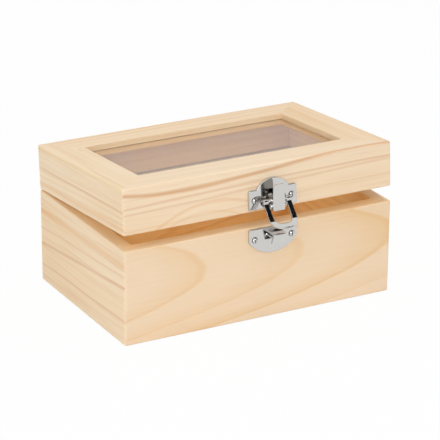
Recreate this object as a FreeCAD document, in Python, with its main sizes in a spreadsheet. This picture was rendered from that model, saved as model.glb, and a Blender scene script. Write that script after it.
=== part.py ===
import FreeCAD, Part
import math
import os

import Sketcher

# A small pine keepsake box: mitred walls, a framed glass lid on two butt hinges, and a
# draw latch (plate, lever, bail and hooked keeper) on the front.
# Frame: origin at the middle of the underside, +X to the right, -Y to the front, +Z up.
# The lid's pieces are drawn with the lid shut and then swung open about the hinge pins.

Vector = FreeCAD.Vector
Rotation = FreeCAD.Rotation
Placement = FreeCAD.Placement

DRIVING_SIZES = {
    # the wooden box
    "box_width": 155.0,
    "box_depth": 100.0,
    "base_height": 50.7,
    "lid_height": 24.0,
    "seam_gap": 0.3,
    "wall": 8.0,
    "corner_round": 1.5,
    "edge_round": 0.8,
    "floor_panel": 3.0,
    "floor_rabbet": 4.0,
    # the lid's frame and its window
    "rail_width": 18.5,
    "lip_height": 3.0,
    "lip_width": 4.0,
    "glass": 2.0,
    "glass_play": 0.25,
    "bead_height": 3.0,
    "bead_width": 3.6,
    "lid_open": 4.4,
    # the two butt hinges
    "hinge_spread": 90.0,
    "hinge_width": 24.0,
    "hinge_leaf_reach": 10.5,
    "hinge_sheet": 1.0,
    "hinge_out": 2.5,
    "knuckle_radius": 2.0,
    "knuckle_gap": 0.15,
    "hinge_pin_radius": 0.9,
    "hinge_screw_spacing": 14.0,
    "hinge_screw_reach": 6.2,
    # screws
    "screw_radius": 0.8,
    "screw_length": 6.0,
    "screw_point": 1.6,
    "screw_head_radius": 1.7,
    "screw_head_height": 0.9,
    "screw_slot": 0.5,
    "screw_slot_depth": 0.45,
    "screw_hole_play": 0.15,
    # the draw latch: heights are measured from the seam, reach from the wood's face
    "latch_centre": 6.2,
    "plate_sheet": 1.2,
    "plate_round": 0.4,
    "plate_corner": 1.2,
    "plate_half": 13.9,
    "plate_foot": 1.2,
    "plate_ear": 11.6,
    "arch_half": 9.3,
    "arch_radius": 10.9,
    "plate_screw_half": 10.7,
    "plate_screw_height": 6.2,
    "cheek_sheet": 0.9,
    "cheek_radius": 1.6,
    "lever_pin_reach": 4.8,
    "pin_radius": 0.8,
    "turning_play": 0.05,
    "side_play": 0.15,
    "lever_half": 3.4,
    "lever_sheet": 0.9,
    "lever_reach": 7.4,
    "lever_back": 2.2,
    "lever_foot": 0.9,
    "lever_channel": 9.5,
    "lever_tip": 14.9,
    "lever_tip_lean": 0.8,
    "lever_tip_round": 1.7,
    "lever_back_round": 1.2,
    "bail_pin_reach": 4.5,
    "bail_pin_height": 5.6,
    "bail_arm": 11.2,
    "bail_loop": 13.5,
    "bail_inner_half": 5.2,
    "bail_strip": 2.8,
    "bail_sheet": 1.0,
    "bail_eye": 1.5,
    "bail_bar": 3.1,
    "bail_kick": 18.0,
    "bail_swing": 38.0,
    "bail_inner_round": 4.0,
    "bail_outer_round": 6.5,
    "rivet_radius": 1.2,
    "rivet_head": 0.4,
    "keeper_top": 0.9,
    "keeper_side": 7.9,
    "keeper_half": 13.9,
    "keeper_radius": 17.2,
    "keeper_screw_drop": 6.6,
    "hook_half": 3.6,
    "hook_aside": 0.6,
    "hook_sheet": 1.1,
    "hook_reach": 7.8,
    "hook_root_drop": 2.6,
    "hook_crown_drop": 2.9,
    "hook_tip_drop": 8.6,
    "hook_tip_reach": 5.2,
    "hook_rest_half": 2.4,
    "hook_rest_drop": 6.75,
}

doc = FreeCAD.newDocument("keepsake_box")
sheet = doc.addObject("Spreadsheet::Sheet", "Sizes")
for row, (name, value) in enumerate(DRIVING_SIZES.items(), start=1):
    sheet.set(f"A{row}", name)
    sheet.set(f"B{row}", str(value))
    sheet.setAlias(f"B{row}", name)
doc.recompute()

PARTS = []
VERTICAL = Vector(0, 0, 1)


def formula(text):
    """Write a size formula with each alias pointing at the sheet."""
    names = sorted(DRIVING_SIZES, key=len, reverse=True)
    out = ""
    i = 0
    while i < len(text):
        word = next((n for n in names if text.startswith(n, i)), None)
        if word and not (i and (text[i - 1].isalnum() or text[i - 1] in "_.")):
            end = i + len(word)
            if end == len(text) or not (text[end].isalnum() or text[end] == "_"):
                out += "Sizes." + word
                i = end
                continue
        out += text[i]
        i += 1
    return out


def size(text):
    """The value of a size formula, in millimetres or degrees."""
    value = sheet.evalExpression(formula(text))
    return float(getattr(value, "Value", value))


def bind(thing, prop, text):
    thing.setExpression(prop, formula(text))


def new_body(label):
    body = doc.addObject("PartDesign::Body", label)
    body.Label = label
    PARTS.append(body)
    return body


def sketch_on(body, role, name, offset="0", shift="0"):
    """A sketch on one of the body's own origin planes, moved along its normal by offset."""
    plane = next(f for f in body.Origin.OriginFeatures if f.Role == role)
    sketch = body.newObject("Sketcher::SketchObject", f"{body.Label}_{name}")
    sketch.AttachmentSupport = [(plane, "")]
    sketch.MapMode = "FlatFace"
    bind(sketch, "AttachmentOffset.Base.z", offset)
    bind(sketch, "AttachmentOffset.Base.x", shift)
    return sketch


def dimension(sketch, geometry, end, x, y):
    """Hold one point of a sketch at a place given by two size formulas."""
    for kind, text in (("DistanceX", x), ("DistanceY", y)):
        index = sketch.addConstraint(Sketcher.Constraint(kind, -1, 1, geometry, end, size(text)))
        sketch.setExpression(f"Constraints[{index}]", formula(text))


def arc_between(start, end, radius):
    """An arc turning anticlockwise from start to end, the short way round its centre."""
    chord = end - start
    rise = math.sqrt(max(radius * radius - chord.Length * chord.Length / 4, 0.0))
    left = Vector(-chord.y, chord.x, 0).normalize()
    crown = (start + end) * 0.5 + left * (rise - radius)
    return Part.Arc(start, crown, end)


def outline(sketch, corners):
    """A closed outline, anticlockwise. Each corner is (x, y) or (x, y, radius of the side after it)."""
    first = sketch.GeometryCount
    places = [Vector(size(c[0]), size(c[1]), 0) for c in corners]
    count = len(corners)
    for i, corner in enumerate(corners):
        start, end = places[i], places[(i + 1) % count]
        if len(corner) == 2:
            sketch.addGeometry(Part.LineSegment(start, end), False)
        else:
            sketch.addGeometry(arc_between(start, end, size(corner[2])), False)
    for i, corner in enumerate(corners):
        here, after = first + i, first + (i + 1) % count
        sketch.addConstraint(Sketcher.Constraint("Coincident", here, 2, after, 1))
        dimension(sketch, here, 1, corner[0], corner[1])
        if len(corner) == 3:
            index = sketch.addConstraint(Sketcher.Constraint("Radius", here, size(corner[2])))
            sketch.setExpression(f"Constraints[{index}]", formula(corner[2]))


def rectangle(sketch, left, low, right, high):
    outline(sketch, [(left, low), (right, low), (right, high), (left, high)])


def circle(sketch, x, y, radius):
    geometry = sketch.addGeometry(
        Part.Circle(Vector(size(x), size(y), 0), Vector(0, 0, 1), size(radius)), False
    )
    dimension(sketch, geometry, 3, x, y)
    index = sketch.addConstraint(Sketcher.Constraint("Radius", geometry, size(radius)))
    sketch.setExpression(f"Constraints[{index}]", formula(radius))


def pad(body, sketch, length, both_ways=False, backwards=False):
    feature = body.newObject("PartDesign::Pad", f"{sketch.Name}_pad")
    feature.Profile = sketch
    feature.SideType = "Symmetric" if both_ways else "One side"
    feature.Reversed = backwards
    bind(feature, "Length", length)
    doc.recompute()
    return feature


def pocket(body, sketch, depth=None, both_ways=False, backwards=False):
    """Cut a sketch into the body, through everything where no depth is given."""
    before = body.Shape.Volume
    feature = body.newObject("PartDesign::Pocket", f"{sketch.Name}_cut")
    feature.Profile = sketch
    feature.SideType = "Symmetric" if both_ways else "One side"
    feature.Reversed = backwards
    if depth is None:
        feature.Type = "ThroughAll"
    else:
        bind(feature, "Length", depth)
    doc.recompute()
    if feature.Shape.Volume > before - 1e-6:
        raise RuntimeError(f"{feature.Name} cuts nothing")
    return feature


def fillet(body, edges_wanted, radius):
    """Round the edges of the body's tip that pass a test."""
    tip = body.Tip
    names = [f"Edge{i}" for i, e in enumerate(tip.Shape.Edges, start=1) if edges_wanted(e)]
    if not names:
        raise RuntimeError(f"{body.Label} has no such edges to round")
    feature = body.newObject("PartDesign::Fillet", f"{body.Label}_round")
    feature.Base = (tip, names)
    bind(feature, "Radius", radius)
    doc.recompute()
    return feature


def mirrored(body, features):
    """Repeat features on the other side of the body's YZ plane."""
    plane = next(f for f in body.Origin.OriginFeatures if f.Role == "YZ_Plane")
    mirror = body.newObject("PartDesign::Mirrored", f"{body.Label}_mirror")
    mirror.Originals = features
    mirror.MirrorPlane = (plane, [""])
    body.Tip = mirror
    doc.recompute()
    return mirror


def turned(angle):
    return Placement(Vector(0, 0, 0), Rotation(VERTICAL, angle))


def moved(x, y, z):
    return Placement(Vector(x, y, z), Rotation())


def turn_about_x(y, z, angle):
    """A turn about a line parallel to X. A positive angle lifts what is in front of it."""
    axis = Vector(0, y, z)
    turn = Rotation(Vector(1, 0, 0), -angle)
    return Placement(axis - turn.multVec(axis), turn)


SIDES = {"front": 0, "back": 180, "left": -90, "right": 90}
HINGE_SIDES = {"left": -1, "right": 1}
lid_foot = "base_height + seam_gap"
hinge_height = size("base_height + seam_gap / 2")
lid_swing = turn_about_x(size("box_depth / 2 + hinge_out"), hinge_height, size("lid_open"))


def run_and_across(side):
    """The box size along a side, and the one across it."""
    return ("box_width", "box_depth") if side in ("front", "back") else ("box_depth", "box_width")


def mitred_footprint(sketch, side, thickness, inset="0"):
    """The plan of a stick along one side, its ends mitred and its outer corners rounded."""
    run, across = run_and_across(side)
    outer = f"-({across} / 2 - ({inset}))"
    end = f"({run} / 2 - ({inset}))"
    inner = f"{outer} + {thickness}"
    if inset != "0":
        outline(sketch, [(f"-{end}", outer), (end, outer),
                         (f"{end} - {thickness}", inner), (f"-({end} - {thickness})", inner)])
        return
    nip = "corner_round * (1 - cos(45 deg))"
    outline(sketch, [
        (f"-({end} - corner_round)", outer),
        (f"{end} - corner_round", outer, "corner_round"),
        (f"{end} - {nip}", f"{outer} + {nip}"),
        (f"{end} - {thickness}", inner),
        (f"-({end} - {thickness})", inner),
        (f"-({end} - {nip})", f"{outer} + {nip}", "corner_round"),
    ])


def on_outer_face(side):
    """Tests an edge for lying in the outer face or its corner rounds, and being level."""
    across = size(run_and_across(side)[1])
    reach = size("corner_round")

    def wanted(edge):
        level = edge.BoundBox.ZLength < 1e-6
        outside = edge.BoundBox.YMax < -across / 2 + reach
        return level and outside

    return wanted


def level_inner_edge(side, thickness, height):
    """Tests an edge for being the long inner one at a height."""
    across = size(run_and_across(side)[1])
    y = -across / 2 + size(thickness)

    def wanted(edge):
        box = edge.BoundBox
        return abs(box.YMin - y) < 1e-6 and abs(box.YMax - y) < 1e-6 and abs(box.ZMin - height) < 1e-6 \
            and box.ZLength < 1e-6

    return wanted


def pilot_holes(body, side, places, name):
    """Round holes from the outer face, the screws' own size. Places are (x, z) formulas."""
    across = run_and_across(side)[1]
    sketch = sketch_on(body, "XZ_Plane", name, offset=f"{across} / 2")
    for x, z in places:
        circle(sketch, x, z, "screw_radius")
    pocket(body, sketch, "screw_length")


def hinge_screw_places(drop):
    """Both hinges' screw centres, at a height formula."""
    places = []
    for hinge in ("-hinge_spread / 2", "hinge_spread / 2"):
        for step in ("-hinge_screw_spacing / 2", "+ hinge_screw_spacing / 2"):
            places.append((f"{hinge} {step}", drop))
    return places


def base_wall(side):
    body = new_body(f"base_{side}_wall")
    plan = sketch_on(body, "XY_Plane", "plan")
    mitred_footprint(plan, side, "wall")
    pad(body, plan, "base_height")
    run, across = run_and_across(side)
    step = sketch_on(body, "XY_Plane", "rabbet")
    rectangle(step, f"-{run} / 2", f"-{across} / 2 + wall - floor_rabbet",
              f"{run} / 2", f"-{across} / 2 + 2 * wall")
    pocket(body, step, "floor_panel", backwards=True)
    fillet(body, on_outer_face(side), "edge_round")
    fillet(body, level_inner_edge(side, "wall", size("base_height")), "edge_round / 2")
    body.Placement = turned(SIDES[side])
    return body


def lid_rail(side):
    body = new_body(f"lid_{side}_rail")
    plan = sketch_on(body, "XY_Plane", "plan", offset=lid_foot)
    mitred_footprint(plan, side, "rail_width")
    pad(body, plan, "lid_height")
    run, across = run_and_across(side)
    hollow = sketch_on(body, "XY_Plane", "hollow", offset=lid_foot)
    rectangle(hollow, f"-{run} / 2", f"-{across} / 2 + wall",
              f"{run} / 2", f"-{across} / 2 + 2 * rail_width")
    pocket(body, hollow, "lid_height - lip_height - glass - bead_height", backwards=True)
    seat = sketch_on(body, "XY_Plane", "glass_seat", offset=lid_foot)
    rectangle(seat, f"-{run} / 2", f"-{across} / 2 + rail_width - lip_width",
              f"{run} / 2", f"-{across} / 2 + 2 * rail_width")
    pocket(body, seat, "lid_height - lip_height", backwards=True)
    fillet(body, on_outer_face(side), "edge_round")
    top = size(f"{lid_foot} + lid_height")
    fillet(body, level_inner_edge(side, "rail_width", top), "edge_round / 2")
    fillet(body, level_inner_edge(side, "wall", size(lid_foot)), "edge_round / 2")
    return body


for side in SIDES:
    base_wall(side)

keeper_height = "base_height - keeper_screw_drop"
pilot_holes(doc.base_front_wall, "front",
            [("latch_centre - plate_screw_half", keeper_height),
             ("latch_centre + plate_screw_half", keeper_height)],
            "keeper_pilots")
pilot_holes(doc.base_back_wall, "back",
            hinge_screw_places("base_height + seam_gap / 2 - hinge_screw_reach"), "hinge_pilots")

floor = new_body("base_floor")
floor_plan = sketch_on(floor, "XY_Plane", "plan")
rectangle(floor_plan, "-(box_width / 2 - wall + floor_rabbet)", "-(box_depth / 2 - wall + floor_rabbet)",
          "box_width / 2 - wall + floor_rabbet", "box_depth / 2 - wall + floor_rabbet")
pad(floor, floor_plan, "floor_panel")

for side in SIDES:
    rail = lid_rail(side)
    if side == "front":
        height = f"{lid_foot} + plate_screw_height"
        pilot_holes(rail, side, [("latch_centre - plate_screw_half", height),
                                 ("latch_centre + plate_screw_half", height)], "plate_pilots")
    if side == "back":
        pilot_holes(rail, side, hinge_screw_places("base_height + seam_gap / 2 + hinge_screw_reach"),
                    "hinge_pilots")
    rail.Placement = lid_swing * turned(SIDES[side])

pane = new_body("window_glass")
pane_foot = f"{lid_foot} + lid_height - lip_height - glass"
pane_plan = sketch_on(pane, "XY_Plane", "plan", offset=pane_foot)
pane_x = "(box_width / 2 - rail_width + lip_width - glass_play)"
pane_y = "(box_depth / 2 - rail_width + lip_width - glass_play)"
rectangle(pane_plan, f"-{pane_x}", f"-{pane_y}", pane_x, pane_y)
pad(pane, pane_plan, "glass")
pane.Placement = lid_swing

for side in SIDES:
    bead = new_body(f"glass_bead_{side}")
    plan = sketch_on(bead, "XY_Plane", "plan", offset=f"{pane_foot} - bead_height")
    mitred_footprint(plan, side, "bead_width", inset="rail_width - lip_width")
    pad(bead, plan, "bead_height")
    bead.Placement = lid_swing * turned(SIDES[side])


def screws(label, half_spacing, placement):
    """Two round-head slotted wood screws: heads towards -Y, points into the wood."""
    body = new_body(label)
    profile = sketch_on(body, "XY_Plane", "profile", shift=half_spacing)
    outline(profile, [
        ("0", "-screw_head_height"),
        ("screw_head_radius * 0.45", "-screw_head_height", "screw_head_radius * 1.1"),
        ("screw_head_radius", "0"),
        ("screw_radius", "0"),
        ("screw_radius", "screw_length - screw_point"),
        ("0", "screw_length"),
    ])
    turning = body.newObject("PartDesign::Revolution", f"{label}_turning")
    turning.Profile = profile
    turning.ReferenceAxis = (profile, ["V_Axis"])
    turning.Angle = 360
    doc.recompute()
    slot = sketch_on(body, "XZ_Plane", "slot", offset="screw_head_height", shift=half_spacing)
    rectangle(slot, "-screw_slot / 2", "-screw_head_radius", "screw_slot / 2", "screw_head_radius")
    cut = pocket(body, slot, "screw_slot_depth")
    mirrored(body, [turning, cut])
    body.Placement = placement
    return body


def hinge_leaf(label, owner, placement):
    """One leaf, drawn with the pin along X at the origin and the wood at +Y."""
    body = new_body(label)
    leaf = sketch_on(body, "XZ_Plane", "leaf", offset="-hinge_out")
    low, high = ("0", "hinge_leaf_reach") if owner == "lid" else ("-hinge_leaf_reach", "0")
    rectangle(leaf, "-hinge_width / 2", low, "hinge_width / 2", high)
    pad(body, leaf, "hinge_sheet")
    third = "hinge_width / 6"
    notch = sketch_on(body, "XZ_Plane", "notches")
    clear = "(knuckle_radius + knuckle_gap)"
    edge_low, edge_high = ("-1", clear) if owner == "lid" else (f"-{clear}", "1")
    if owner == "lid":
        rectangle(notch, "-hinge_width / 2 - 1", edge_low, f"-({third} - knuckle_gap)", edge_high)
        rectangle(notch, f"{third} - knuckle_gap", edge_low, "hinge_width / 2 + 1", edge_high)
    else:
        rectangle(notch, f"-({third} + knuckle_gap)", edge_low, f"{third} + knuckle_gap", edge_high)
    pocket(body, notch, "2 * hinge_out")
    if owner == "lid":
        roll = sketch_on(body, "YZ_Plane", "knuckle")
        circle(roll, "0", "0", "knuckle_radius")
        pad(body, roll, f"2 * ({third} - knuckle_gap)", both_ways=True)
    else:
        for name, start in (("knuckle_left", "-hinge_width / 2"),
                            ("knuckle_right", f"{third} + knuckle_gap")):
            roll = sketch_on(body, "YZ_Plane", name, offset=start)
            circle(roll, "0", "0", "knuckle_radius")
            pad(body, roll, f"hinge_width / 2 - {third} - knuckle_gap")
    bore = sketch_on(body, "YZ_Plane", "bore")
    play = " + turning_play" if owner == "lid" else ""
    circle(bore, "0", "0", f"hinge_pin_radius{play}")
    pocket(body, bore, "2 * hinge_width", both_ways=True)
    holes = sketch_on(body, "XZ_Plane", "holes")
    for step in ("-", ""):
        circle(holes, f"{step}hinge_screw_spacing / 2",
               "hinge_screw_reach" if owner == "lid" else "-hinge_screw_reach",
               "screw_radius + screw_hole_play")
    pocket(body, holes, "2 * hinge_out")
    body.Placement = placement
    return body


for hinge, sign in HINGE_SIDES.items():
    place = (moved(sign * size("hinge_spread / 2"), size("box_depth / 2 + hinge_out"), hinge_height)
             * turned(180))
    screw_face = size("hinge_out - hinge_sheet")
    hinge_leaf(f"{hinge}_hinge_base_leaf", "base", place)
    hinge_leaf(f"{hinge}_hinge_lid_leaf", "lid", lid_swing * place)
    screws(f"{hinge}_hinge_base_screws", "hinge_screw_spacing / 2",
           place * moved(0, screw_face, -size("hinge_screw_reach")))
    screws(f"{hinge}_hinge_lid_screws", "hinge_screw_spacing / 2",
           lid_swing * place * moved(0, screw_face, size("hinge_screw_reach")))
    pin = new_body(f"{hinge}_hinge_pin")
    section = sketch_on(pin, "YZ_Plane", "section")
    circle(section, "0", "0", "hinge_pin_radius")
    pad(pin, section, "hinge_width", both_ways=True)
    pin.Placement = place


lid_latch = lid_swing * moved(size("latch_centre"), -size("box_depth / 2"), size(lid_foot))
base_latch = moved(size("latch_centre"), -size("box_depth / 2"), size("base_height"))
lever_pin_height = "(plate_foot + cheek_radius)"


def front_edges(edge):
    """Tests an edge for lying in a plate's outer face."""
    box = edge.BoundBox
    return abs(box.YMin + size("plate_sheet")) < 1e-6 and box.YLength < 1e-6


def plate_corners(half, *heights):
    """Tests an edge for being one of a plate's sharp corners at these heights."""

    def wanted(edge):
        box = edge.BoundBox
        through = box.XLength < 1e-6 and box.ZLength < 1e-6
        at_side = abs(abs(box.XMin) - half) < 1e-6
        return through and at_side and any(abs(box.ZMin - height) < 1e-6 for height in heights)

    return wanted


def screw_holes(body, height):
    """The two clearance holes of a latch plate."""
    holes = sketch_on(body, "XZ_Plane", "screw_holes", offset="plate_sheet")
    for side_sign in ("-", ""):
        circle(holes, f"{side_sign}plate_screw_half", height, "screw_radius + screw_hole_play")
    pocket(body, holes, "plate_sheet")


plate = new_body("latch_plate")
plate_face = sketch_on(plate, "XZ_Plane", "outline")
outline(plate_face, [
    ("-plate_half", "plate_foot"),
    ("plate_half", "plate_foot"),
    ("plate_half", "plate_ear"),
    ("arch_half", "plate_ear", "arch_radius"),
    ("-arch_half", "plate_ear"),
    ("-plate_half", "plate_ear"),
])
pad(plate, plate_face, "plate_sheet")
fillet(plate, plate_corners(size("plate_half"), size("plate_ear")), "plate_corner")
fillet(plate, front_edges, "plate_round")
cheek = sketch_on(plate, "YZ_Plane", "cheek", offset="lever_half + side_play")
outline(cheek, [
    ("-lever_pin_reach", "plate_foot"),
    ("-plate_sheet / 2", "plate_foot"),
    ("-plate_sheet / 2", "plate_foot + 2 * cheek_radius"),
    ("-lever_pin_reach", "plate_foot + 2 * cheek_radius", "cheek_radius"),
    ("-(lever_pin_reach + cheek_radius)", lever_pin_height, "cheek_radius"),
])
cheek_pad = pad(plate, cheek, "cheek_sheet")
mirrored(plate, [cheek_pad])
pin_bore = sketch_on(plate, "YZ_Plane", "pin_bore")
circle(pin_bore, "-lever_pin_reach", lever_pin_height, "pin_radius")
pocket(plate, pin_bore, "4 * plate_half", both_ways=True)
screw_holes(plate, "plate_screw_height")
plate.Placement = lid_latch

lever_pin = new_body("lever_pin")
lever_pin_section = sketch_on(lever_pin, "YZ_Plane", "section")
circle(lever_pin_section, "-lever_pin_reach", lever_pin_height, "pin_radius")
pad(lever_pin, lever_pin_section, "2 * (lever_half + side_play + cheek_sheet)", both_ways=True)
lever_pin.Placement = lid_latch

lever = new_body("latch_lever")
lever_side = sketch_on(lever, "YZ_Plane", "side")
outline(lever_side, [
    ("-lever_reach", "lever_foot"),
    ("-lever_back", "lever_foot"),
    ("-lever_back", "lever_channel"),
    ("-(lever_reach - lever_sheet)", "lever_channel"),
    ("-(lever_reach - lever_sheet + lever_tip_lean)", "lever_tip"),
    ("-(lever_reach + lever_tip_lean)", "lever_tip"),
    ("-lever_reach", "lever_channel"),
])
pad(lever, lever_side, "2 * lever_half", both_ways=True)
channel = sketch_on(lever, "XZ_Plane", "channel", offset="lever_reach - lever_sheet")
channel_half = "(lever_half - lever_sheet)"
rectangle(channel, f"-{channel_half}", "lever_foot - 1", channel_half, "lever_channel + 1")
pocket(lever, channel, "lever_reach")


def lever_tip_corners(edge):
    box = edge.BoundBox
    return box.XLength < 1e-6 and box.ZLength < 1e-6 and abs(box.ZMin - size("lever_tip")) < 1e-6


def lever_back_corners(edge):
    box = edge.BoundBox
    across = box.YLength < 1e-6 and box.ZLength < 1e-6
    return across and abs(box.YMin + size("lever_back")) < 1e-6


fillet(lever, lever_tip_corners, "lever_tip_round")
fillet(lever, lever_back_corners, "lever_back_round")
lever_bores = sketch_on(lever, "YZ_Plane", "bores")
circle(lever_bores, "-lever_pin_reach", lever_pin_height, "pin_radius + turning_play")
circle(lever_bores, "-bail_pin_reach", "bail_pin_height", "pin_radius + turning_play")
pocket(lever, lever_bores, "4 * lever_half", both_ways=True)
lever.Placement = lid_latch

bail_outer_half = "(bail_inner_half + bail_strip)"
bail_pivot = lid_latch * moved(0, -size("bail_pin_reach"), size("bail_pin_height"))

bail_pin = new_body("bail_pin")
pin_profile = sketch_on(bail_pin, "XZ_Plane", "profile")
grip = f"({bail_outer_half} + side_play)"
outline(pin_profile, [
    (f"-({grip} + rivet_head)", "0"),
    (f"{grip} + rivet_head", "0"),
    (f"{grip} + rivet_head", "rivet_radius"),
    (grip, "rivet_radius"),
    (grip, "pin_radius"),
    (f"-{grip}", "pin_radius"),
    (f"-{grip}", "rivet_radius"),
    (f"-({grip} + rivet_head)", "rivet_radius"),
])
pin_turning = bail_pin.newObject("PartDesign::Revolution", "bail_pin_turning")
pin_turning.Profile = pin_profile
pin_turning.ReferenceAxis = (pin_profile, ["H_Axis"])
pin_turning.Angle = 360
doc.recompute()
bail_pin.Placement = bail_pivot

bail = new_body("latch_bail")
bail_side = sketch_on(bail, "YZ_Plane", "side")
front = "-(bail_sheet / 2)"
flap = "(bail_loop - bail_arm + bail_bar)"
kick_y = f"{flap} * sin(bail_kick * 1 deg)"
kick_z = f"{flap} * cos(bail_kick * 1 deg)"
outline(bail_side, [
    (front, "0"),
    (front, "-bail_arm"),
    (f"{front} - {kick_y}", f"-bail_arm - {kick_z}"),
    (f"{front} - {kick_y} + bail_sheet * cos(bail_kick * 1 deg)",
     f"-bail_arm - {kick_z} - bail_sheet * sin(bail_kick * 1 deg)"),
    ("bail_sheet / 2", "-bail_arm - bail_sheet * tan(bail_kick * 0.5 deg)"),
    ("bail_sheet / 2", "0"),
])
pad(bail, bail_side, f"2 * {bail_outer_half}", both_ways=True)
bail_foot = f"(bail_arm + {kick_z})"
corner_cut = sketch_on(bail, "XZ_Plane", "corner")
outline(corner_cut, [
    (f"-{bail_outer_half} - 1", f"-{bail_foot} - 1"),
    (f"-{bail_outer_half} - 1", f"-{bail_foot} + bail_outer_round"),
    (f"-{bail_outer_half}", f"-{bail_foot} + bail_outer_round", "bail_outer_round"),
    (f"-{bail_outer_half} + bail_outer_round", f"-{bail_foot}"),
    (f"-{bail_outer_half} + bail_outer_round", f"-{bail_foot} - 1"),
])
corner = pocket(bail, corner_cut, "8 * bail_bar", both_ways=True)
mirrored(bail, [corner])
eyes = sketch_on(bail, "YZ_Plane", "eyes")
circle(eyes, "0", "0", "bail_eye")
pad(bail, eyes, f"2 * {bail_outer_half}", both_ways=True)
loop_foot = "(bail_arm + (bail_loop - bail_arm) * cos(bail_kick * 1 deg))"
loop = sketch_on(bail, "XZ_Plane", "loop")
outline(loop, [
    ("-(bail_inner_half - bail_inner_round)", f"-{loop_foot}"),
    ("bail_inner_half - bail_inner_round", f"-{loop_foot}", "bail_inner_round"),
    ("bail_inner_half", f"-{loop_foot} + bail_inner_round"),
    ("bail_inner_half", "2 * bail_eye"),
    ("-bail_inner_half", "2 * bail_eye"),
    ("-bail_inner_half", f"-{loop_foot} + bail_inner_round", "bail_inner_round"),
])
pocket(bail, loop, "8 * bail_bar", both_ways=True)
eye_bore = sketch_on(bail, "YZ_Plane", "eye_bore")
circle(eye_bore, "0", "0", "pin_radius + turning_play")
pocket(bail, eye_bore, f"4 * {bail_outer_half}", both_ways=True)
bail.Placement = bail_pivot * turn_about_x(0, 0, size("bail_swing"))

keeper = new_body("latch_keeper")
keeper_face = sketch_on(keeper, "XZ_Plane", "outline")
outline(keeper_face, [
    ("-keeper_half", "-keeper_side", "keeper_radius"),
    ("keeper_half", "-keeper_side"),
    ("keeper_half", "-keeper_top"),
    ("-keeper_half", "-keeper_top"),
])
pad(keeper, keeper_face, "plate_sheet")
fillet(keeper, plate_corners(size("keeper_half"), -size("keeper_top"), -size("keeper_side")), "plate_corner")
fillet(keeper, front_edges, "plate_round")
hook = sketch_on(keeper, "YZ_Plane", "hook", offset="hook_aside - hook_half")
outline(hook, [
    ("-plate_sheet / 2", "-(hook_root_drop + hook_sheet)"),
    ("-plate_sheet / 2", "-hook_root_drop"),
    ("-hook_reach", "-hook_crown_drop"),
    ("-hook_tip_reach", "-hook_tip_drop"),
    ("-(hook_tip_reach - hook_sheet)", "-hook_tip_drop"),
    ("-(hook_reach - 1.6 * hook_sheet)", "-(hook_crown_drop + hook_sheet)"),
])
pad(keeper, hook, "2 * hook_half")


def hook_bend(edge):
    """Tests an edge for being the hook's outer bend."""
    box = edge.BoundBox
    along_the_bend = box.XLength > size("hook_half") and box.YLength < 1e-6
    return along_the_bend and abs(box.YMin + size("hook_reach")) < 1e-6


fillet(keeper, hook_bend, "hook_sheet")
# A shelf between hook and plate, which the bail's bar pulls up against.
rest = sketch_on(keeper, "YZ_Plane", "bail_rest", offset="hook_aside - hook_rest_half")
rectangle(rest, "-hook_tip_reach", "-hook_rest_drop", "-plate_sheet / 2", "-(hook_rest_drop - hook_sheet)")
pad(keeper, rest, "2 * hook_rest_half")
screw_holes(keeper, "-keeper_screw_drop")
keeper.Placement = base_latch

screws("latch_plate_screws", "plate_screw_half",
       lid_latch * moved(0, -size("plate_sheet"), size("plate_screw_height")))
screws("keeper_screws", "plate_screw_half",
       base_latch * moved(0, -size("plate_sheet"), -size("keeper_screw_drop")))

doc.recompute()
for thing in doc.Objects:
    if "Invalid" in thing.State or "Error" in thing.State:
        raise RuntimeError(f"{thing.Name} failed: {thing.State}")
for part in PARTS:
    if part.Shape.isNull() or not part.Shape.isValid() or not part.Shape.Solids:
        raise RuntimeError(f"{part.Label} has no sound shape")

os.makedirs("parts", exist_ok=True)
for part in PARTS:
    part.Shape.exportStep(os.path.join("parts", f"{part.Label}.step"))
    print(f"{part.Label}: {len(part.Shape.Solids)} solid(s), {part.Shape.Volume:.1f} mm3")
print(f"{len(PARTS)} nodes written")
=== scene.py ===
# %% [markdown]
# # A small pine keepsake box with a glass window in its lid
#
# The box is four pine boards and a thin floor. Its lid is a mitred frame, like a picture
# frame, with a pane of glass under a lip, two butt hinges at the back and a bright draw
# latch in front. The solid shapes come from the CAD model. Here they get their wood, glass
# and metal, the latch gets its rounded edges, and a camera and lamps are set up. Everything
# is drawn with sums over the object's own coordinates, so no image has to come along.

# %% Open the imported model
import math

import bmesh
import bpy
from mathutils import Euler, Matrix, Vector


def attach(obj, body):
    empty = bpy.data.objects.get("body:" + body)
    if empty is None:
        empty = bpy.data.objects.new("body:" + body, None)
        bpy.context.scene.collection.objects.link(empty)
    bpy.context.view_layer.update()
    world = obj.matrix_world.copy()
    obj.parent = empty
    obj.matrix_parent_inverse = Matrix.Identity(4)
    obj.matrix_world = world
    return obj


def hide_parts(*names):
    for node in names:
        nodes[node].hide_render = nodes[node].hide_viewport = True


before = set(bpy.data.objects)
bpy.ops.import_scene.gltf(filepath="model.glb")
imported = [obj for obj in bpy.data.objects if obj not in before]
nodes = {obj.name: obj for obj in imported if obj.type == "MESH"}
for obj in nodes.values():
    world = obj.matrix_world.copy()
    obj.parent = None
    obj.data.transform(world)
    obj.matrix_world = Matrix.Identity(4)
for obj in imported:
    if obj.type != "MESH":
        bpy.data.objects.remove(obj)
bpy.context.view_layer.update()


# %% [markdown]
# Sizes are in metres, because the model is, but a workshop thinks in millimetres. The lid
# stands open a few degrees, so anything drawn square to the lid has to be turned with it
# about the hinge line. That could be done piece by piece, but one matrix does it for every
# piece of the lid, and it can't disagree with itself.

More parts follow.
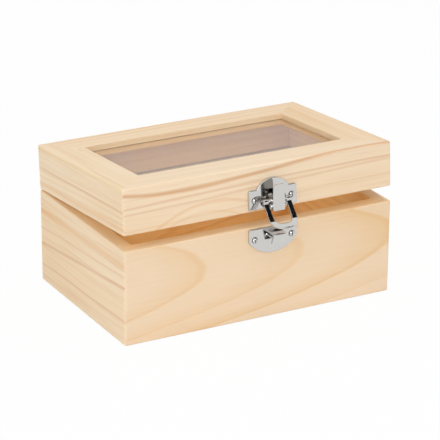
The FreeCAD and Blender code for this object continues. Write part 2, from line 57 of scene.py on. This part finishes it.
# %% Sizes that several steps need
MM = 0.001
DEPTH = 100 * MM
BASE_HEIGHT = 50.7 * MM
SEAM = 0.3 * MM
LID_OPEN = math.radians(4.4)
HINGE_BEHIND_BOX = 2.5 * MM
HINGE = Vector((0, DEPTH / 2 + HINGE_BEHIND_BOX, BASE_HEIGHT + SEAM / 2))

lid_turn = (Matrix.Translation(HINGE) @ Matrix.Rotation(-LID_OPEN, 4, "X")
            @ Matrix.Translation(-HINGE))
lifted = lid_turn @ Vector((0, -DEPTH / 2, BASE_HEIGHT))
print("lid front edge lifts to", round(lifted.z * 1000, 1), "mm")

# %% [markdown]
# A wide lens close by would spread the box's near corner, as a phone does. Product pictures
# are taken with a long lens from a metre or so away, which keeps the edges nearly parallel.
# The camera looks down on the front left corner.

# %% Camera
camera_data = bpy.data.cameras.new("camera")
camera_data.lens = 191.8
camera_data.sensor_width = 36
camera = bpy.data.objects.new("camera", camera_data)
camera.location = (-0.5482, -1.0084, 0.4834)
camera.rotation_euler = Euler([math.radians(a) for a in (68.7326, -0.3168, -28.5535)])
bpy.context.scene.collection.objects.link(camera)
bpy.context.scene.camera = camera
view_line = camera.rotation_euler.to_matrix() @ Vector((0, 0, -1))
print("camera looks along", [round(value, 3) for value in view_line])

# %% [markdown]
# Shader maths can be drawn as a web of nodes, but it reads better as an expression. The
# small class below wraps one output of a node. Adding or multiplying two of them adds a
# Math node to the material, so a line of Python is also a piece of the node tree.


# %% A wire that does sums
class Wire:
    def __init__(self, socket):
        self.socket = socket

    def _sum(self, operation, *values):
        tree = self.socket.id_data
        step = tree.nodes.new("ShaderNodeMath")
        step.operation = operation
        for slot, value in zip(step.inputs, values):
            plug(tree, value, slot)
        return Wire(step.outputs[0])

    def __add__(self, other):
        return self._sum("ADD", self, other)

    def __radd__(self, other):
        return self._sum("ADD", other, self)

    def __sub__(self, other):
        return self._sum("SUBTRACT", self, other)

    def __rsub__(self, other):
        return self._sum("SUBTRACT", other, self)

    def __mul__(self, other):
        return self._sum("MULTIPLY", self, other)

    def __rmul__(self, other):
        return self._sum("MULTIPLY", other, self)

    def __truediv__(self, other):
        return self._sum("DIVIDE", self, other)

    def __pow__(self, other):
        return self._sum("POWER", self, other)

    def __abs__(self):
        return self._sum("ABSOLUTE", self)

    def larger(self, other):
        return self._sum("MAXIMUM", self, other)

    def whole(self):
        return self._sum("FLOOR", self)

    def fraction(self):
        return self._sum("FRACT", self)


def plug(tree, value, slot):
    """Links a wire to a socket, or writes a number or a colour into it."""
    if isinstance(value, Wire):
        tree.links.new(value.socket, slot)
    elif isinstance(value, (tuple, list)) and len(value) == 3 and len(slot.default_value) == 4:
        slot.default_value = (*value, 1)
    else:
        slot.default_value = value


print("wires can add, multiply and compare")

# %% [markdown]
# Every finish on the box starts from Blender's Principled shader, which already knows how
# wood, glass and metal treat light. The class below holds one such material while its nodes
# are added.


# %% A material under construction
class Finish:
    def __init__(self, name):
        self.material = bpy.data.materials.new(name)
        self.material.use_nodes = True
        self.tree = self.material.node_tree
        self.surface = self.tree.nodes["Principled BSDF"]

    def node(self, kind, settings=None, output=0, **sockets):
        """Adds a node. A socket goes by its name, or by number (_0, _1) where names repeat."""
        made = self.tree.nodes.new(f"ShaderNode{kind}")
        for name, value in (settings or {}).items():
            setattr(made, name, value)
        for name, value in sockets.items():
            index = int(name[1:]) if name[1:].isdigit() else name.replace("_", " ")
            plug(self.tree, value, made.inputs[index])
        return Wire(made.outputs[output])

    def blend(self, first, second, amount, how="MIX"):
        """Mixes two colours."""
        settings = {"data_type": "RGBA", "blend_type": how}
        return self.node("Mix", settings, 2, _0=amount, _6=first, _7=second)

    def ease(self, value, low, high):
        """0 below low, 1 above high, smooth between."""
        return self.node("MapRange", {"interpolation_type": "SMOOTHSTEP"},
                         _0=value, _1=low, _2=high)

    def fade(self, value, low, high):
        """1 below low, 0 above high, smooth between."""
        return 1 - self.ease(value, low, high)

    def set(self, **sockets):
        for name, value in sockets.items():
            plug(self.tree, value, self.surface.inputs[name.replace("_", " ")])
        return self.material

    def cover(self, amount, over):
        """Lays another shader over the surface, by an amount from 0 to 1."""
        mixed = self.node("MixShader", {}, _0=amount, _1=Wire(self.surface.outputs[0]), _2=over)
        self.tree.links.new(mixed.socket, self.tree.nodes["Material Output"].inputs["Surface"])


def dress(node, material):
    """Gives a solid one material."""
    nodes[node].data.materials.clear()
    nodes[node].data.materials.append(material)


print("finishes can be made")

# %% [markdown]
# A colour read off a real board is a screen colour, from 0 to 255. A renderer adds up light
# instead, and its scale isn't the same, so each colour is turned into light first.


# %% Screen colours
def screen(red, green, blue):
    def light(value):
        value /= 255
        return value / 12.92 if value < 0.0404 else ((value + 0.055) / 1.055) ** 2.4

    return light(red), light(green), light(blue)


PALE, HONEY, LINE, FLECK = (249, 224, 191), (241, 205, 158), (219, 163, 101), (168, 116, 72)
WHITE_FIBRE = (252, 234, 208)
AMBER, ORANGE, PITCH = (212, 150, 90), (232, 174, 108), (246, 214, 132)
PAINTED_SHADE_COLOUR, PAINTED_SHADE_TINT = (243, 208, 160), (1.0, 0.88, 0.60)
print("pale pine is", [round(value, 3) for value in screen(*PALE)])

# %% [markdown]
# ## Pine
#
# A picture of a board could be wrapped round each piece, but then the pattern on the face,
# the edge and the end wouldn't agree. So the wood is worked out in the round, from where
# each point lies in the log. That starts with coordinates in millimetres that run along the
# board's fibres. The lid's boards are worked out as if the lid were shut.


# %% Places in a board
def board_places(finish, run, turned):
    places = finish.node("TexCoord", output=3)
    if turned:
        places = finish.node("Mapping", {"vector_type": "TEXTURE"}, Vector=places,
                             Location=tuple(lid_turn.to_translation()),
                             Rotation=tuple(lid_turn.to_euler()))
    places = finish.node("Mapping", {}, Vector=places, Scale=(1000, 1000, 1000))
    if run == "y":
        places = finish.node("Mapping", {"vector_type": "TEXTURE"}, Vector=places,
                             Rotation=(0, 0, math.radians(90)))
    return places


def stretched(finish, places, shift, scale):
    """Places shifted, and scaled so that a texture on them is drawn out along the fibres."""
    return finish.node("Mapping", {}, Vector=places, Location=shift, Scale=scale)


print("places run along each board")

# %% [markdown]
# A board shows the growth rings of its log. The rings are cones, nearly cylinders, about
# the log's middle. Where the board's face runs nearly parallel to that line, the rings come
# out as stripes, and where it cuts them at a low angle they come out as the arches that
# joiners call cathedrals. The distance of each point from a line through or beside the
# board gives its ring, whose number picks how dark it is. Each ring goes slowly from pale
# early wood to a thin darker line of late wood, and then stops sharply.


# %% Growth rings
def late_wood(finish, along, deep, up, bend, heart, lean, rings, shift, waver):
    """How much late wood there is at a place, from 0 for none to nearly 1."""
    far = deep - heart[0] - along * lean[0]
    high = up - heart[1] - along * lean[1]
    distance = (high * high + far * far) ** 0.5
    ring = (distance + bend * 16.0 * waver) / rings + shift
    step = ring.fraction()
    mood = finish.node("TexWhiteNoise", {"noise_dimensions": "1D"}, W=ring.whole() + shift * 7.0)
    soft = finish.ease(step, 0.30, 0.90) * finish.fade(step, 0.90, 0.97)
    thin = finish.ease(step, 0.80, 0.89) * finish.fade(step, 0.91, 0.97)
    return (soft * 0.40 + thin * 0.30) * (0.30 + 0.95 * mood)


print("rings can be counted")

# %% [markdown]
# A few rings are much darker than the rest, or full of resin. No sum over plain rings puts
# those in the right place, so they are laid in one by one as bands. A band's height changes
# along the board as a polynomial, and fades out above and below.


# %% Dark bands
def band_amount(finish, along, up, bend, inward, heights, half):
    place = along * 0.01
    level = heights[-1]
    for factor in heights[-2::-1]:
        level = place * level + factor
    miss = abs(up + bend * 3.0 + inward * 0.8 - level)
    return finish.fade(miss, 0, half)


print("bands can follow a curve")

# %% [markdown]
# The inside of the box, and the faces where lid and base meet, lie in shade and in warm light
# bounced off the wood, so they get painted shade: a deeper honey colour. Where lid and base
# meet, the painted shade grows from the outer face inward, and on and above the underside of
# the lid's lip most of it is taken off. They could be separate materials with a hard edge
# between them. A mask that fades over a millimetre or two looks softer, as shade does.

# %% Painted shade inside the box and under the lid
INSIDE_HALF_WIDTH, INSIDE_HALF_DEPTH = (69.4, 72.0), (41.9, 44.5)
LIP_UNDERSIDE, LID_TOP, FLOOR_UNDERSIDE = (66.2, 66.8), (74.0, 74.8), (0.5, 2.0)
# How much of the painted shade is taken off on and above the underside of the lid's lip, which
# paints those faces lighter.
LIP_SHADE_REDUCTION = 0.85
MEETING_HEIGHT, MEETING_HALF, MEETING_DEPTH = 50.85, (0.25, 0.60), (0, 7)


def painted_shade_amount(finish, width, depth, up, inward, seam):
    """1 on the faces that get painted shade, inside the box and where lid and base meet, 0 outside.
    All places are in mm.
    """
    inside = (finish.fade(abs(width), *INSIDE_HALF_WIDTH)
              * finish.fade(abs(depth), *INSIDE_HALF_DEPTH))
    inside = inside * (1 - finish.ease(up, *LIP_UNDERSIDE) * LIP_SHADE_REDUCTION)
    inside = inside * finish.fade(up, *LID_TOP) * finish.ease(up, *FLOOR_UNDERSIDE)
    meeting = finish.fade(abs(up - MEETING_HEIGHT), *MEETING_HALF)
    # Painted shade under the lid: darker over the first 7 mm in from the outer face.
    meeting = meeting * (0.3 + 0.7 * finish.ease(inward, *MEETING_DEPTH))
    return inside.larger(meeting * seam)


print("inside begins", INSIDE_HALF_WIDTH[0], "mm from the middle")

# %% [markdown]
# Wood is never even. Slow noise bends the rings. Fine noise, drawn out along the board,
# makes the fibres, and a cloudy one the patches where the wood is warmer. Short dark flecks
# are resin pores. One texture could stand for all of them, but each has a size of its own.


# %% Bends, fibres, clouds and pores
def unevenness(finish, places, shift):
    """Four wires: how far rings bend, how pale a fibre is, how warm the wood is, and pores."""
    def noise(offset, scale, detail, roughness):
        where = stretched(finish, places, offset, scale)
        return finish.node("TexNoise", {}, Vector=where, Scale=1.0, Detail=detail,
                           Roughness=roughness)

    bend = noise((shift * 9, shift * 5, shift * 7), (0.011, 0.06, 0.06), 2.0, 0.45) - 0.5
    fibre = noise((shift, 0, 0), (0.018, 1.1, 1.1), 5.0, 0.65)
    cloud = noise((shift * 3, 1, 2), (0.008, 0.035, 0.035), 2.0, 0.5)
    dashes = stretched(finish, places, (shift * 2, 0, 0), (0.10, 0.9, 0.9))
    pores = finish.node("TexVoronoi", {}, Vector=dashes, Scale=0.30, Randomness=1.0)
    pores = finish.fade(pores, 0.03, 0.11) * finish.ease(cloud, 0.50, 0.58)
    return bend, fibre, cloud, pores


print("wood can be uneven")

# %% [markdown]
# A board is all of this together, laid over a pale ground colour in thin coats: first the
# warm patches, then late wood, fibres, bands and pores, and the painted shade of the inside
# and the meeting faces last, because it darkens everything under it. Pine is hardly glossy,
# and its fibres are just rough enough to break up a highlight.


# %% Boards cut from a log
def pine(name, run, heart, lean, rings, shift=0.0, strength=1.0, waver=0.15, tone=(0, 0, 0),
         bands=(), face=0.0, grain=1.0, seam=0.25, late=LINE, turned=False):
    """Wood for one board, in mm of the closed box.

    run: "x" or "y", the way the board's fibres go.
    heart: where the log's middle passes the board's centre, as (depth, height).
    lean: how far the heart moves per mm along the board, as (depth, height).
    rings: the width of a ring. shift: where the first one starts. waver: how far they bend.
    strength: how dark the late wood is. late: its colour. tone: added to the other colours.
    bands: (heights on the board's outer face, half width, strength, colour), with heights a
    polynomial of the place along the board in units of 100 mm. face: that face's depth.
    grain: how much the fibres show. seam: how much painted shade the faces get where lid
    and base meet. turned: true for the boards of the lid.
    """
    finish = Finish(name)
    places = board_places(finish, run, turned)
    parts = finish.tree.nodes.new("ShaderNodeSeparateXYZ")
    plug(finish.tree, places, parts.inputs[0])
    along, deep, up = (Wire(output) for output in parts.outputs)
    width, depth = (along, deep) if run == "x" else (deep, along)
    inward = abs(deep - face)
    bend, fibre, cloud, pores = unevenness(finish, places, shift)
    dark = late_wood(finish, along, deep, up, bend, heart, lean, rings, shift, waver)

    def toned(colour):
        return screen(*(part + change for part, change in zip(colour, tone)))

    colour = finish.blend(toned(PALE), toned(HONEY), finish.ease(cloud, 0.35, 0.70) * 0.45)
    colour = finish.blend(colour, screen(*late), dark * (0.62 * strength))
    colour = finish.blend(colour, toned(LINE), finish.ease(fibre, 0.50, 0.78) * (0.28 * grain))
    colour = finish.blend(colour, screen(*WHITE_FIBRE),
                          finish.ease(0.52 - fibre, 0.0, 0.25) * (0.45 * grain))
    for heights, half, force, stain in bands:
        band = band_amount(finish, along, up, bend, inward, heights, half)
        colour = finish.blend(colour, screen(*stain), band * force * (0.7 + 0.6 * fibre))
    colour = finish.blend(colour, toned(FLECK), pores * 0.30)
    # Painted shade: the inside of the box and the faces where lid and base meet are darkened and
    # warmed here.
    inside = painted_shade_amount(finish, width, depth, up, inward, seam)
    colour = finish.blend(colour, screen(*PAINTED_SHADE_COLOUR), inside * 0.30)
    colour = finish.blend(colour, PAINTED_SHADE_TINT, inside, "MULTIPLY")
    bump = finish.node("Bump", {}, Strength=0.10, Distance=0.0002,
                       Height=fibre * 0.25 - dark * 0.35)
    return finish.set(Base_Color=colour, Roughness=0.55 + fibre * 0.12, Normal=bump,
                      Specular_IOR_Level=0.22)


print("pine sums ready")

# %% [markdown]
# The front wall was sawn with the log's middle 71 mm behind its face, so the rings cross it
# as wide arches. The other walls are straight-grained, with a few dark bands. Each wall is a
# board of its own, so at the mitred corners the pattern changes, as it does on a real box.

# %% Pine for the base
dress("base_front_wall", pine(
    "pine_base_front", "x", heart=(21.4, 34), lean=(0.07, 0), rings=3.8, shift=0.69,
    strength=1.1, waver=0.06, tone=(-2, -3, -2), face=-50, grain=0.45, seam=0.7,
    late=(232, 182, 104)))
dress("base_back_wall", pine(
    "pine_base_back", "x", heart=(-40, 10), lean=(0.05, 0.02), rings=4.2, shift=5.2, face=42,
    bands=(
        ((22.0, 9.0, 14.0), 1.6, 0.55, AMBER),
        ((13.0, 9.0, 10.0), 1.2, 0.45, AMBER),
        ((31.0, 6.0, 9.0), 1.2, 0.40, AMBER),
    )))
dress("base_left_wall", pine(
    "pine_base_left", "y", heart=(40, -120), lean=(0, -0.06), rings=5.3, shift=2.1,
    strength=0.55, waver=0.3, tone=(1, 3, 4), face=77.5, grain=1.4, seam=0.8,
    bands=(
        ((41.3, -3.3), 3.2, 0.40, ORANGE),
        ((26.0, -10.0), 1.5, 0.40, AMBER),
        ((11.2, -3.6), 1.2, 0.30, AMBER),
        ((33.5, -7.0), 1.0, 0.22, AMBER),
    )))
dress("base_right_wall", pine(
    "pine_base_right", "y", heart=(-30, 130), lean=(0.02, -0.05), rings=4.0, shift=3.7,
    face=-77.5, bands=(((30.0, 5.0), 1.2, 0.40, AMBER),)))
dress("base_floor", pine(
    "pine_floor", "x", heart=(60, -40), lean=(0.02, 0.03), rings=5.0, shift=8.8, strength=0.4))
print("base boards dressed")

# %% [markdown]
# The lid's frame is four rails, mitred at the corners. Their grain turns through a right
# angle at each mitre, and that is what makes the mitre line show. The beads that hold the
# glass from below were cut from the same wood, so each takes the finish of its rail.

# %% Pine for the lid
rails = {
    "front": pine(
        "pine_lid_front", "x", heart=(40, -20), lean=(0, 0.03), rings=5.0, shift=1.3,
        strength=0.4, waver=0.3, tone=(-1, 1, 4), face=-50, turned=True,
        bands=(
            ((71.16, 8.49, 3.30, -10.39), 1.7, 0.62, AMBER),
            ((66.5, 2.0, -1.2), 1.2, 0.34, AMBER),
            ((63.5, 3.0, 0.5), 1.0, 0.26, AMBER),
            ((54.6, -45.9, -85.0), 1.4, 0.34, ORANGE),
            ((45.3, -67.2, -105.0), 1.2, 0.24, ORANGE),
        )),
    "back": pine(
        "pine_lid_back", "x", heart=(-40, -30), lean=(0.02, 0), rings=3.4, shift=4.4,
        turned=True),
    "left": pine(
        "pine_lid_left", "y", heart=(40, -40), lean=(0.01, 0.0), rings=3.3, shift=2.6,
        strength=0.55, waver=0.3, tone=(1, 5, 8), face=77.5, grain=1.4, seam=0.8, turned=True,
        bands=(
            ((54.0, 0.8), 1.6, 0.40, ORANGE),
            ((73.9, 0.4), 0.8, 0.32, PITCH),
            ((63.0, 1.5), 1.0, 0.35, AMBER),
        )),
    "right": pine(
        "pine_lid_right", "y", heart=(-40, -40), lean=(-0.02, 0.0), rings=3.6, shift=6.1,
        turned=True),
}
for side, wood in rails.items():
    dress(f"lid_{side}_rail", wood)
    dress(f"glass_bead_{side}", wood)
print(len(rails), "rails and their beads dressed")

# %% [markdown]
# ## Glass
#
# The window is a thin clear pane. Real glass bends light on its way in and again on its way
# out, and a renderer is slow to find lamps through that, so the inside of the box would be
# dark and noisy. Letting the lamps' light straight through, and nothing else, keeps the
# glass's look and lights the inside.

# %% Window glass
pane = Finish("window_glass")
pane.set(Base_Color=(0.83, 0.82, 0.83), Roughness=0.0, IOR=1.5, Transmission_Weight=1.0)
toward_lamp = pane.node("LightPath", output=1)
pane.cover(toward_lamp, pane.node("BsdfTransparent", {}, Color=(0.97, 0.97, 0.96)))
dress("window_glass", pane.material)
print("glass set")

# %% [markdown]
# ## Nickel
#
# The latch and hinges are pressed steel with a bright nickel plate. Nickel is a warm grey
# mirror. A perfect mirror looks like a drawing, so faint waviness in the pressed sheet and
# fine polishing marks are added as two scales of noise.

# %% Bright nickel
NICKEL_POLISHED, NICKEL_RUBBED = (0.66, 0.65, 0.63), (0.56, 0.55, 0.53)
METAL_WORDS = ("hinge", "latch", "keeper", "pin")

nickel = Finish("bright_nickel")
place = nickel.node("TexCoord", output=3)
dents = nickel.node("TexNoise", {}, Vector=place, Scale=220.0, Detail=2.0, Roughness=0.5)
rub = nickel.node("TexNoise", {}, Vector=place, Scale=1500.0, Detail=3.0, Roughness=0.6)
waves = nickel.node("Bump", {}, Strength=0.25, Distance=0.0002, Height=dents)
nickel.set(Base_Color=nickel.blend(NICKEL_POLISHED, NICKEL_RUBBED, rub), Metallic=1.0,
           Roughness=0.06 + rub * 0.10, Normal=waves)
metal = [name for name in nodes if any(word in name for word in METAL_WORDS)]
for name in metal:
    dress(name, nickel.material)
print("nickel on", ", ".join(metal))

# %% [markdown]
# ## Rounded edges
#
# Pressed and plated metal has no sharp edges, and it is the rounded edges that catch the
# lamps as bright lines. A bevel modifier could round them, but the solids arrive as many
# small triangles, and it would stumble over those. So each sharp piece is copied, welded,
# cleaned of needless edges and bevelled here. The copies take the solids' places.

# %% Bevelled copies
WELD = 0.002 * MM
FLAT_ENOUGH, SHARP_ENOUGH = math.radians(0.5), math.radians(35)


def soften(node, body, width, name, spare=None):
    """Bevels a copy of a solid. spare(middle) is true for edges that stay sharp."""
    shape = bmesh.new()
    shape.from_mesh(nodes[node].data)
    shape.transform(nodes[node].matrix_world)
    bmesh.ops.remove_doubles(shape, verts=shape.verts, dist=WELD)
    bmesh.ops.dissolve_limit(shape, angle_limit=FLAT_ENOUGH, verts=shape.verts,
                             edges=shape.edges)
    sharp = [edge for edge in shape.edges
             if len(edge.link_faces) == 2 and edge.calc_face_angle(0) > SHARP_ENOUGH
             and not (spare and spare((edge.verts[0].co + edge.verts[1].co) / 2))]
    made = bmesh.ops.bevel(shape, geom=sharp, affect="EDGES", offset_type="OFFSET",
                           offset=width, segments=3, profile=0.5, material=-1,
                           clamp_overlap=True)
    for face in made["faces"]:
        face.smooth = True
    mesh = bpy.data.meshes.new(name)
    shape.to_mesh(mesh)
    shape.free()
    mesh.materials.append(nickel.material)
    piece = bpy.data.objects.new(name, mesh)
    bpy.context.scene.collection.objects.link(piece)
    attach(piece, body)
    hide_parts(node)
    print(name, "has", len(mesh.polygons), "faces,", len(sharp), "edges bevelled")
    return piece


# %% [markdown]
# The bail's eyes turn on a pin with hardly any room. A rounded edge there would only make
# the hole look worn, so edges near the pin stay as they are.

# %% Lever, bail and keeper
PIN_BEFORE_BOX, PIN_ABOVE_SEAM, BAIL_EYE = 4.5 * MM, 5.6 * MM, 1.2 * MM
bail_axis = lid_turn @ Vector((0, -DEPTH / 2 - PIN_BEFORE_BOX, BASE_HEIGHT + SEAM + PIN_ABOVE_SEAM))


def near_bail_pin(middle):
    return math.hypot(middle.y - bail_axis.y, middle.z - bail_axis.z) < BAIL_EYE


soften("latch_lever", "lever", 0.40 * MM, "lever_rounded")
soften("latch_bail", "bail", 0.42 * MM, "bail_rounded", near_bail_pin)
soften("latch_keeper", "base", 0.25 * MM, "keeper_rounded")

# %% [markdown]
# The screws are bevelled too. A saw-cut slot is narrow and deep, so its walls and
# its floor lie in deep shade. So does the crack round a countersunk head, which also mirrors
# the dark surroundings. Modelling that shade in the geometry would take more faces than the
# rest of the latch. The faces are there already, so those that lie in a slot or at a head's
# rim just get a dark material: painted shade, and at the rim painted dark reflection too.
# Each screw of a pair is looked at by itself, from its own crown and middle.

# %% Painted shade in the slots
SLOT_RADIUS, SLOT_WALL_DEPTH, SLOT_FLOOR_DEPTHS = 1.35 * MM, 0.6 * MM, (0.25 * MM, 0.8 * MM)
RIM_RADIUS, RIM_DEPTHS, RIM_LEVELS = 1.2 * MM, (0.50 * MM, 0.92 * MM), (0.05, 0.85)

# Painted shade: a near-black material for the faces in the screws' slots and at their heads' rims.
slot_painted_shade = Finish("screw_slot")
slot_painted_shade.set(Base_Color=(0.05, 0.048, 0.045), Metallic=0.6, Roughness=0.6)


def islands(shape):
    """Yields the vertices of each piece of a mesh that hangs together, here one screw."""
    waiting = set(shape.verts)
    while waiting:
        island, queue = set(), [waiting.pop()]
        while queue:
            vert = queue.pop()
            island.add(vert)
            for edge in vert.link_edges:
                other = edge.other_vert(vert)
                if other in waiting:
                    waiting.discard(other)
                    queue.append(other)
        yield island


def in_painted_shade(depth, radius, level):
    """Tests whether a face gets painted shade, from its depth under the crown, its distance
    from the middle, and how far it faces outward, from 0 for a wall to 1 for a floor."""
    in_slot = radius < SLOT_RADIUS
    wall = in_slot and abs(level) < 0.3 and depth < SLOT_WALL_DEPTH
    floor = in_slot and level > 0.95 and SLOT_FLOOR_DEPTHS[0] < depth < SLOT_FLOOR_DEPTHS[1]
    rim = (RIM_LEVELS[0] < level < RIM_LEVELS[1] and RIM_DEPTHS[0] < depth < RIM_DEPTHS[1]
           and radius > RIM_RADIUS)
    return wall or floor or rim


def paint_slot_shade(piece, outward):
    """Paints shade into the slots and rims of screws whose heads face outward."""
    mesh = piece.data
    mesh.materials.append(slot_painted_shade.material)
    shape = bmesh.new()
    shape.from_mesh(mesh)
    for island in islands(shape):
        crown = max(vert.co.dot(outward) for vert in island)
        low = Vector([min(vert.co[axis] for vert in island) for axis in range(3)])
        high = Vector([max(vert.co[axis] for vert in island) for axis in range(3)])
        for face in {face for vert in island for face in vert.link_faces}:
            middle = face.calc_center_median()
            across = middle - (low + high) / 2
            across -= outward * across.dot(outward)
            if in_painted_shade(crown - middle.dot(outward), across.length, face.normal.dot(outward)):
                face.material_index = 1
    dark = sum(face.material_index for face in shape.faces)
    shape.to_mesh(mesh)
    shape.free()
    print(piece.name, "has", dark, "dark faces")


# %% [markdown]
# The latch's screws face the front, and the hinges' screws the back. Those of the lid lean
# with it.

# %% Screws
base_front = Vector((0, -1, 0))
lid_front = lid_turn.to_3x3() @ base_front
SCREW_BEVEL = 0.10 * MM
paint_slot_shade(soften("latch_plate_screws", "lid", SCREW_BEVEL, "plate_screws_rounded"), lid_front)
paint_slot_shade(soften("keeper_screws", "base", SCREW_BEVEL, "keeper_screws_rounded"), base_front)
for side in ("left", "right"):
    for body, outward in (("base", -base_front), ("lid", -lid_front)):
        screws = soften(f"{side}_hinge_{body}_screws", body, SCREW_BEVEL,
                        f"{side}_{body}_hinge_screws_rounded")
        paint_slot_shade(screws, outward)

# %% [markdown]
# ## Floor and light
#
# The box stands on a large pale floor, as on a roll of studio paper. The camera, and
# anything that mirrors the room or is looked through, sees the floor and the room as plain
# white. If they lit the box as strongly as that, pale pine would wash out, so the light that
# falls on the box is weaker. One mask tells the two apart, by what kind of ray is asking.


# %% White for the eye, softer as light
def seen(tree):
    """1 for rays that end up in the picture directly or by mirror or glass, else 0."""
    path = tree.nodes.new("ShaderNodeLightPath")
    direct, mirrored, refracted = (Wire(path.outputs[f"Is {kind} Ray"])
                                   for kind in ("Camera", "Glossy", "Transmission"))
    return direct.larger(mirrored).larger(refracted)


def flat(name, size):
    """A square sheet, not yet in the scene."""
    grid = bmesh.new()
    bmesh.ops.create_grid(grid, x_segments=1, y_segments=1, size=size)
    mesh = bpy.data.meshes.new(name)
    grid.to_mesh(mesh)
    grid.free()
    return bpy.data.objects.new(name, mesh)


FLOOR_GLOW = 0.96
studio_floor = flat("studio_floor", 3.0)
studio_floor.location = (0, 0, -0.02 * MM)
bpy.context.scene.collection.objects.link(studio_floor)
paper = Finish("studio_paper")
paper.set(Base_Color=(0.9, 0.9, 0.9), Roughness=0.9, Specular_IOR_Level=0.0)
paper.cover(seen(paper.tree) * FLOOR_GLOW,
            paper.node("Emission", {}, Color=(1, 1, 1), Strength=1.0))
studio_floor.data.materials.append(paper.material)
print("floor laid")

# %% [markdown]
# The room is the same white to the eye, and gives the box a little less than half of that as
# light from all round. It fills the shadows, so none of the lamps has to be harsh.

# %% Room light
ROOM_LIGHT = 0.46
world = bpy.data.worlds.new("room")
bpy.context.scene.world = world
world.use_nodes = True
background = world.node_tree.nodes["Background"]
plug(world.node_tree, (1, 1, 1), background.inputs["Color"])
plug(world.node_tree, seen(world.node_tree) * (1 - ROOM_LIGHT) + ROOM_LIGHT,
     background.inputs["Strength"])
print("room light", ROOM_LIGHT)

# %% [markdown]
# Three broad soft lamps light the wood: a key from the front right, a fill from the left
# and one above that shines through the window. They are kept out of mirrored rays, because
# from some sides their square shapes would show in the glass. Two small lamps do the fine
# work: one stands nearly on the camera's own line and reaches in through the open gap, and
# the last puts a glint on the latch.


# %% Lamps
def lamp(name, place, width, watts, target=(0, 0, 0.03), mirrored=True):
    data = bpy.data.lights.new(name, "AREA")
    data.shape = "RECTANGLE"
    data.size = data.size_y = width
    data.energy = watts
    made = bpy.data.objects.new(name, data)
    made.location = place
    made.rotation_euler = (Vector(target) - Vector(place)).to_track_quat("-Z", "Y").to_euler()
    made.visible_glossy = mirrored
    bpy.context.scene.collection.objects.link(made)
    print(name, "gives", watts, "W")


lamp("key", (0.35, -0.9, 0.9), 0.7, 2.8, mirrored=False)
lamp("fill", (-1.1, -0.2, 0.7), 0.6, 3.1, mirrored=False)
lamp("top", (0.1, -0.05, 1.2), 0.6, 3.1, mirrored=False)
lamp("front", (-0.532, -0.98, 0.471), 0.08, 1.5, target=(0, -0.05, 0.055))
lamp("glint", (-0.62, -0.75, 0.85), 0.22, 0.7, target=(0, 0, 0.05))

# %% [markdown]
# Polished metal only looks like metal when there is something dark for it to mirror. In a
# studio, black cards would stand round the latch, just outside the picture. Here they can be
# simpler still: only mirrored rays see them, so they throw no shadow. Two grey ones stand
# behind the box. The large one dims what the window mirrors, and the low one gives the
# hinges a tone to mirror.

# %% Cards for the mirrors
LATCH = Vector((6.2 * MM, -0.056, 0.056))


def card(name, place, size, finish):
    """A card turned toward the latch. place is counted from the latch."""
    made = flat(name, 0.5)
    made.data.materials.append(finish.material)
    made.location = LATCH + Vector(place)
    made.rotation_euler = Vector(place).to_track_quat("Z", "Y").to_euler()
    made.scale = (*size, 1)
    bpy.context.scene.collection.objects.link(made)
    for rays in ("camera", "diffuse", "transmission", "volume_scatter", "shadow"):
        setattr(made, f"visible_{rays}", False)
    print(name, "stands", round(Vector(place).length, 2), "m from the latch")


black = Finish("black_card")
black.set(Base_Color=(0.012, 0.012, 0.013), Roughness=1.0, Specular_IOR_Level=0.0)
grey = Finish("grey_card")
grey.set(Base_Color=(0, 0, 0), Specular_IOR_Level=0.0, Emission_Color=(0.55, 0.55, 0.55),
         Emission_Strength=1.0)
card("card_over_latch", (0.141, -0.118, 0.238), (0.14, 0.11), black)
card("card_before_latch", (0.141, -0.215, 0.150), (0.14, 0.14), black)
card("card_low_left", (-0.103, -0.187, -0.056), (0.06, 0.07), black)
card("card_behind_box", (0.33, 0.58, 0.36), (0.5, 0.5), grey)
card("card_low_behind", (-0.02, 0.24, -0.050), (0.36, 0.05), grey)

# %% [markdown]
# Blender's usual film look would turn the white room grey. The Standard view shows colours
# as they were worked out.

bpy.context.scene.view_settings.view_transform = "Standard"
